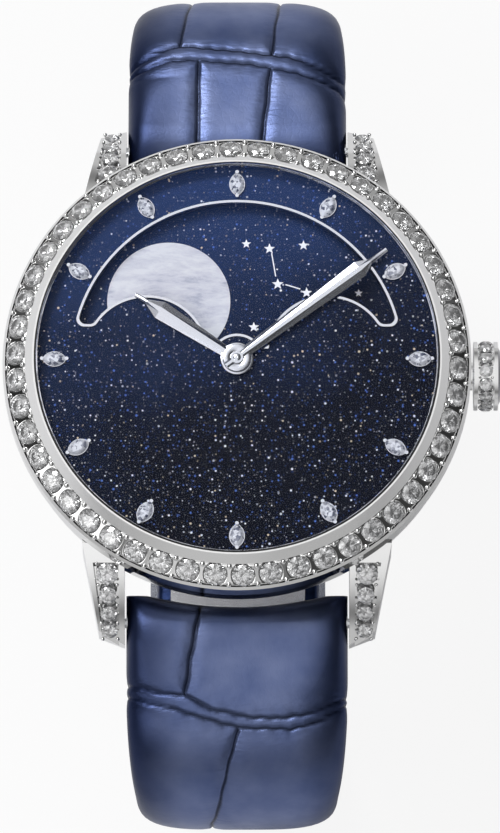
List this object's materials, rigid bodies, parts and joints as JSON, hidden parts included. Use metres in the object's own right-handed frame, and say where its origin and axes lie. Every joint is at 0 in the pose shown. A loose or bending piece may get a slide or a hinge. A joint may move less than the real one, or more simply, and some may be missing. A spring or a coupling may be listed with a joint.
{
  "type": "moon phase watch",
  "caption": "Hand-wound round wristwatch with a moon phase aperture, stone-set case, scaled leather strap and folding clasp.",
  "frame": {"origin": "centre of the outer face of the watch's round back", "axes": "+Z out through the dial, +Y towards twelve o'clock, +X towards the winding knob at three o'clock"},
  "size_m": [0.041, 0.0708, 0.0592],
  "materials": {
    "white_gold": "mirror polish",
    "steel": "brushed",
    "diamond": "cut and polished",
    "sapphire": "clear polish",
    "dial_glass": "dark blue glass with fine glitter",
    "pearl": "mother-of-pearl",
    "gasket": "matt",
    "plate": "rhodium plated",
    "wheel_brass": "brushed",
    "ruby": "polished",
    "spring_steel": "tempered",
    "leather": "semi-gloss scaled leather",
    "cabochon": "polished dome"
  },
  "bodies": {
    "case": {"case_middle": "white_gold", "bezel": "white_gold", "bezel_diamonds": "diamond", "lug_diamonds": "diamond", "crystal": "sapphire", "crystal_gasket": "gasket", "dial_flange": "white_gold", "casing_ring": "steel", "case_back": "white_gold", "back_glass": "sapphire", "case_back_screws": "steel", "crown_tube": "white_gold", "spring_bar_upper": "steel", "spring_bar_lower": "steel", "dial": "dial_glass", "aperture_frame": "white_gold", "hour_marker_settings": "white_gold", "marker_diamonds": "diamond", "main_plate": "plate", "barrel_bridge": "plate", "train_bridge": "plate", "balance_cock": "plate", "jewels": "ruby", "movement_screws": "steel", "hairspring": "spring_steel"},
    "centre_set": {"centre_wheel": "wheel_brass", "cannon_pinion": "steel", "minute_hand": "white_gold"},
    "hour_set": {"hour_wheel": "wheel_brass", "hour_hand": "white_gold"},
    "minute_wheel_body": {"minute_wheel": "wheel_brass"},
    "day_wheel_body": {"day_wheel": "wheel_brass"},
    "moon_wheel_body": {"moon_wheel": "wheel_brass"},
    "moon_disc_set": {"moon_disc": "dial_glass", "moons": "pearl", "stars": "white_gold"},
    "barrel_body": {"barrel": "wheel_brass", "mainspring": "spring_steel"},
    "third_body": {"third_wheel": "wheel_brass"},
    "fourth_body": {"fourth_wheel": "wheel_brass"},
    "escape_body": {"escape_wheel": "steel"},
    "pallet_body": {"pallet_fork": "steel"},
    "balance_body": {"balance_wheel": "wheel_brass"},
    "winding_body": {"winding_pinion": "steel"},
    "crown_set": {"stem": "steel", "crown": "white_gold", "crown_diamonds": "diamond", "crown_cabochon": "cabochon"},
    "crown_wheel_body": {"crown_wheel": "steel"},
    "ratchet_body": {"ratchet_wheel": "steel", "barrel_arbor": "steel"},
    "strap_upper_body": {"strap_upper": "leather", "clasp_base_blade": "white_gold", "clasp_hinge_pin": "steel"},
    "strap_lower_body": {"strap_lower": "leather", "clasp_cover": "white_gold", "clasp_cover_pin": "steel"},
    "fold_blade_body": {"clasp_fold_blade": "white_gold"}
  },
  "joints": [
    {"name": "minute_hand_turn", "type": "hinge", "parent": "case", "child": "centre_set", "pos_m": [0, 0, 0.005], "axis": [0, 0, -1], "continuous": true},
    {"name": "hour_hand_turn", "type": "hinge", "parent": "case", "child": "hour_set", "pos_m": [0, 0, 0.005], "axis": [0, 0, -1], "continuous": true},
    {"name": "minute_wheel_turn", "type": "hinge", "parent": "case", "child": "minute_wheel_body", "pos_m": [0.0016, -0.00277, 0.005], "axis": [0, 0, -1], "continuous": true},
    {"name": "day_wheel_turn", "type": "hinge", "parent": "case", "child": "day_wheel_body", "pos_m": [-0.00133, 0.00756, 0.005], "axis": [0, 0, -1], "continuous": true},
    {"name": "moon_wheel_turn", "type": "hinge", "parent": "case", "child": "moon_wheel_body", "pos_m": [0, 0, 0.005], "axis": [0, 0, -1], "continuous": true},
    {"name": "moon_disc_turn", "type": "hinge", "parent": "moon_wheel_body", "child": "moon_disc_set", "pos_m": [0, 0, 0.005], "axis": [0, 0, -1], "continuous": true},
    {"name": "barrel_turn", "type": "hinge", "parent": "case", "child": "barrel_body", "pos_m": [0.00492, 0.00492, 0.005], "axis": [0, 0, -1], "continuous": true},
    {"name": "third_wheel_turn", "type": "hinge", "parent": "case", "child": "third_body", "pos_m": [-0.00505, 0.00089, 0.005], "axis": [0, 0, -1], "continuous": true},
    {"name": "fourth_wheel_turn", "type": "hinge", "parent": "case", "child": "fourth_body", "pos_m": [-0.004, -0.00305, 0.005], "axis": [0, 0, -1], "continuous": true},
    {"name": "escape_wheel_turn", "type": "hinge", "parent": "case", "child": "escape_body", "pos_m": [-0.00142, -0.00537, 0.005], "axis": [0, 0, -1], "continuous": true},
    {"name": "pallet_rock", "type": "hinge", "parent": "case", "child": "pallet_body", "pos_m": [0.00101, -0.00634, 0.0035], "axis": [0, 0, -1], "range_deg": [-4, 4]},
    {"name": "balance_swing", "type": "hinge", "parent": "case", "child": "balance_body", "pos_m": [0.0052, -0.00801, 0.0035], "axis": [0, 0, -1], "range_deg": [-150, 150], "stiffness_Nm_per_rad": 0.0000003},
    {"name": "crown_turn", "type": "hinge", "parent": "case", "child": "winding_body", "pos_m": [0.01, 0, 0.00354], "axis": [1, 0, 0], "continuous": true},
    {"name": "crown_pull", "type": "slide", "parent": "winding_body", "child": "crown_set", "axis": [1, 0, 0], "range_m": [0, 0.0009]},
    {"name": "crown_wheel_turn", "type": "hinge", "parent": "case", "child": "crown_wheel_body", "pos_m": [0.00868, 0, 0.005], "axis": [0, 0, -1], "continuous": true},
    {"name": "ratchet_turn", "type": "hinge", "parent": "case", "child": "ratchet_body", "pos_m": [0.00492, 0.00492, 0.005], "axis": [0, 0, -1], "continuous": true},
    {"name": "strap_lower_swing", "type": "hinge", "parent": "case", "child": "strap_lower_body", "pos_m": [0, -0.02, 0.0006], "axis": [-1, 0, 0], "range_deg": [0, 60]},
    {"name": "strap_upper_swing", "type": "hinge", "parent": "case", "child": "strap_upper_body", "pos_m": [0, 0.02, 0.0006], "axis": [-1, 0, 0], "range_deg": [0, 10]},
    {"name": "clasp_fold", "type": "hinge", "parent": "strap_upper_body", "child": "fold_blade_body", "pos_m": [0, -0.0115, -0.04478], "axis": [-1, 0, 0], "range_deg": [0, 54]}
  ],
  "couplings": [
    {"joint": "hour_hand_turn", "follows": "minute_hand_turn", "ratio": 0.083333},
    {"joint": "minute_wheel_turn", "follows": "minute_hand_turn", "ratio": -0.33333},
    {"joint": "day_wheel_turn", "follows": "minute_hand_turn", "ratio": -0.041667},
    {"joint": "moon_wheel_turn", "follows": "minute_hand_turn", "ratio": 0.00070621},
    {"joint": "barrel_turn", "follows": "minute_hand_turn", "ratio": -0.16667},
    {"joint": "third_wheel_turn", "follows": "minute_hand_turn", "ratio": -8},
    {"joint": "fourth_wheel_turn", "follows": "minute_hand_turn", "ratio": 60},
    {"joint": "escape_wheel_turn", "follows": "minute_hand_turn", "ratio": -600},
    {"joint": "crown_wheel_turn", "follows": "crown_turn", "ratio": -0.5},
    {"joint": "ratchet_turn", "follows": "crown_turn", "ratio": 0.36},
    {"joint": "clasp_fold", "follows": "strap_lower_swing", "ratio": 0.9}
  ]
}
